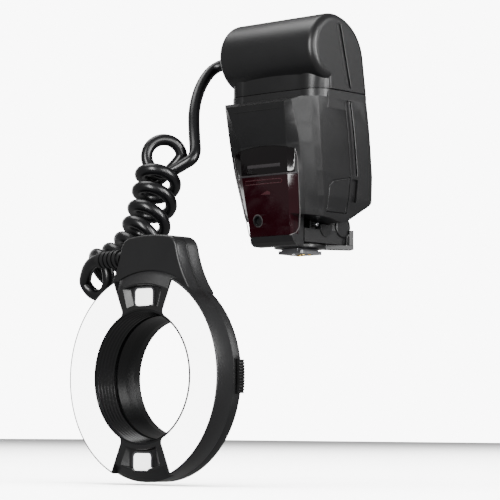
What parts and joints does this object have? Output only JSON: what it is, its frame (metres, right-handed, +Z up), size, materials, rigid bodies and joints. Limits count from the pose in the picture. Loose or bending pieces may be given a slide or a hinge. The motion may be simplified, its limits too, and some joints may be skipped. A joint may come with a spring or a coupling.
{
  "type": "macro ring flash",
  "caption": "Macro ring flash with a slotted-foot controller, capacitor head, curled cord and a lens-mounted ring with white lamp covers.",
  "frame": {"origin": "centre of the underside of the hot-shoe foot", "axes": "+Z up out of the shoe, +Y to the back of the camera (the lens thread faces that way), +X to the side with the socket cover"},
  "size_m": [0.1266, 0.1575, 0.264],
  "materials": {
    "case_plastic": "satin black moulded plastic",
    "button_plastic": "satin dark grey plastic",
    "white_cover": "frosted white",
    "window_black": "polished near-black",
    "window_red": "polished dark red",
    "lcd_clear": "clear over grey-green",
    "cord_rubber": "semi-gloss black",
    "black_metal": "matte black anodised",
    "steel": "bright",
    "trough_metal": "bright",
    "tube_glass": "clear",
    "board_green": "solder mask",
    "contact_brass": "bright",
    "cell_wrap": "glossy sleeve",
    "capacitor_sleeve": "shrink sleeve"
  },
  "bodies": {
    "flash": {"ring_front_housing": "case_plastic", "ring_rear_housing": "case_plastic", "body_front_shell": "case_plastic", "body_rear_shell": "case_plastic", "head_front_shell": "case_plastic", "head_rear_shell": "case_plastic", "neck_collar": "case_plastic", "base_block": "case_plastic", "battery_box": "case_plastic", "socket_block": "case_plastic", "lamp_bezels": "button_plastic", "sensor_window": "button_plastic", "diffuser_left": "white_cover", "diffuser_right": "white_cover", "lamp_windows": "white_cover", "af_window_upper": "window_black", "af_window_lower": "window_red", "af_led": "window_red", "lcd_window": "lcd_clear", "cord_upper_run": "cord_rubber", "cord_curls": "cord_rubber", "ring_cord_gland": "cord_rubber", "head_cord_gland": "cord_rubber", "bore_baffle": "black_metal", "release_spring_left": "steel", "release_spring_right": "steel", "ring_screws": "steel", "case_screws": "steel", "foot_plate": "steel", "reflector_left": "trough_metal", "reflector_right": "trough_metal", "flash_tube_left": "tube_glass", "flash_tube_right": "tube_glass", "ring_circuit_board": "board_green", "main_circuit_board": "board_green", "lcd_module": "board_green", "focus_lamps": "board_green", "battery_contacts": "contact_brass", "batteries": "cell_wrap", "main_capacitor": "capacitor_sleeve"},
    "battery_door": {"battery_door": "case_plastic", "door_contact_plate": "contact_brass"},
    "socket_cover": {"socket_cover": "case_plastic"},
    "release_left": {"release_button_left": "button_plastic", "latch_plate_left": "steel"},
    "release_right": {"release_button_right": "button_plastic", "latch_plate_right": "steel"},
    "adapter_ring": {"adapter_ring": "black_metal"},
    "lock_lever": {"lock_lever": "button_plastic"},
    "lock_pin": {"lock_pin": "steel"},
    "foot_release_button": {"foot_release_button": "button_plastic"},
    "power_switch": {"power_switch": "button_plastic"},
    "select_dial": {"select_dial": "button_plastic"},
    "set_button": {"set_button": "button_plastic"},
    "mode_button": {"mode_button": "button_plastic"},
    "sync_button": {"sync_button": "button_plastic"},
    "ratio_button": {"ratio_button": "button_plastic"},
    "backlight_button": {"backlight_button": "button_plastic"},
    "test_button": {"test_button": "button_plastic"},
    "contact_pins": {"contact_pins": "contact_brass"}
  },
  "joints": [
    {"name": "battery_door_hinge", "type": "hinge", "parent": "flash", "child": "battery_door", "pos_m": [-0.0329, -0.001, 0.0412], "axis": [0, -1, 0], "range_deg": [0, 90]},
    {"name": "socket_cover_hinge", "type": "hinge", "parent": "flash", "child": "socket_cover", "pos_m": [0.0305, -0.01215, 0.0225], "axis": [-0.1763, 0, -0.9843], "range_deg": [0, 100]},
    {"name": "release_left", "type": "slide", "parent": "flash", "child": "release_left", "axis": [1, 0, 0], "range_m": [0, 0.0022], "stiffness_N_per_m": 500, "springref_m": -0.002, "deforming": ["release_spring_left"]},
    {"name": "release_right", "type": "slide", "parent": "flash", "child": "release_right", "axis": [-1, 0, 0], "range_m": [0, 0.0022], "stiffness_N_per_m": 500, "springref_m": -0.002, "deforming": ["release_spring_right"]},
    {"name": "adapter_turn", "type": "hinge", "parent": "flash", "child": "adapter_ring", "pos_m": [0, -0.099, -0.073], "axis": [0, 1, 0], "continuous": true},
    {"name": "lock_lever_turn", "type": "hinge", "parent": "flash", "child": "lock_lever", "pos_m": [0, 0, 0.0046], "axis": [0, 0, 1], "range_deg": [0, 55]},
    {"name": "lock_pin_slide", "type": "slide", "parent": "flash", "child": "lock_pin", "axis": [0, 0, 1], "range_m": [0, 0.0012]},
    {"name": "foot_release_press", "type": "slide", "parent": "flash", "child": "foot_release_button", "axis": [-1, 0, 0], "range_m": [0, 0.001], "stiffness_N_per_m": 800, "springref_m": -0.0008},
    {"name": "power_switch_slide", "type": "slide", "parent": "flash", "child": "power_switch", "axis": [-1, 0, 0], "range_m": [0, 0.004]},
    {"name": "select_dial_turn", "type": "hinge", "parent": "flash", "child": "select_dial", "pos_m": [-0.012, 0.02747, 0.0505], "axis": [0, 0.9816, 0.1908], "continuous": true},
    {"name": "set_button_press", "type": "slide", "parent": "flash", "child": "set_button", "axis": [0, -0.9816, -0.1908], "range_m": [0, 0.0006], "stiffness_N_per_m": 800, "springref_m": -0.0006},
    {"name": "mode_button_press", "type": "slide", "parent": "flash", "child": "mode_button", "axis": [0, -0.9816, -0.1908], "range_m": [0, 0.0006], "stiffness_N_per_m": 800, "springref_m": -0.0006},
    {"name": "sync_button_press", "type": "slide", "parent": "flash", "child": "sync_button", "axis": [0, -0.9816, -0.1908], "range_m": [0, 0.0006], "stiffness_N_per_m": 800, "springref_m": -0.0006},
    {"name": "ratio_button_press", "type": "slide", "parent": "flash", "child": "ratio_button", "axis": [0, -0.9816, -0.1908], "range_m": [0, 0.0006], "stiffness_N_per_m": 800, "springref_m": -0.0006},
    {"name": "backlight_button_press", "type": "slide", "parent": "flash", "child": "backlight_button", "axis": [0, -0.9816, -0.1908], "range_m": [0, 0.0006], "stiffness_N_per_m": 800, "springref_m": -0.0006},
    {"name": "test_button_press", "type": "slide", "parent": "flash", "child": "test_button", "axis": [0, -0.9816, -0.1908], "range_m": [0, 0.0006], "stiffness_N_per_m": 800, "springref_m": -0.0006},
    {"name": "contact_pins_slide", "type": "slide", "parent": "flash", "child": "contact_pins", "axis": [0, 0, 1], "range_m": [0, 0.0005], "stiffness_N_per_m": 800, "springref_m": -0.0005}
  ],
  "couplings": [
    {"joint": "lock_lever_turn", "follows": "lock_pin_slide", "rad_per_m": 799.9}
  ]
}
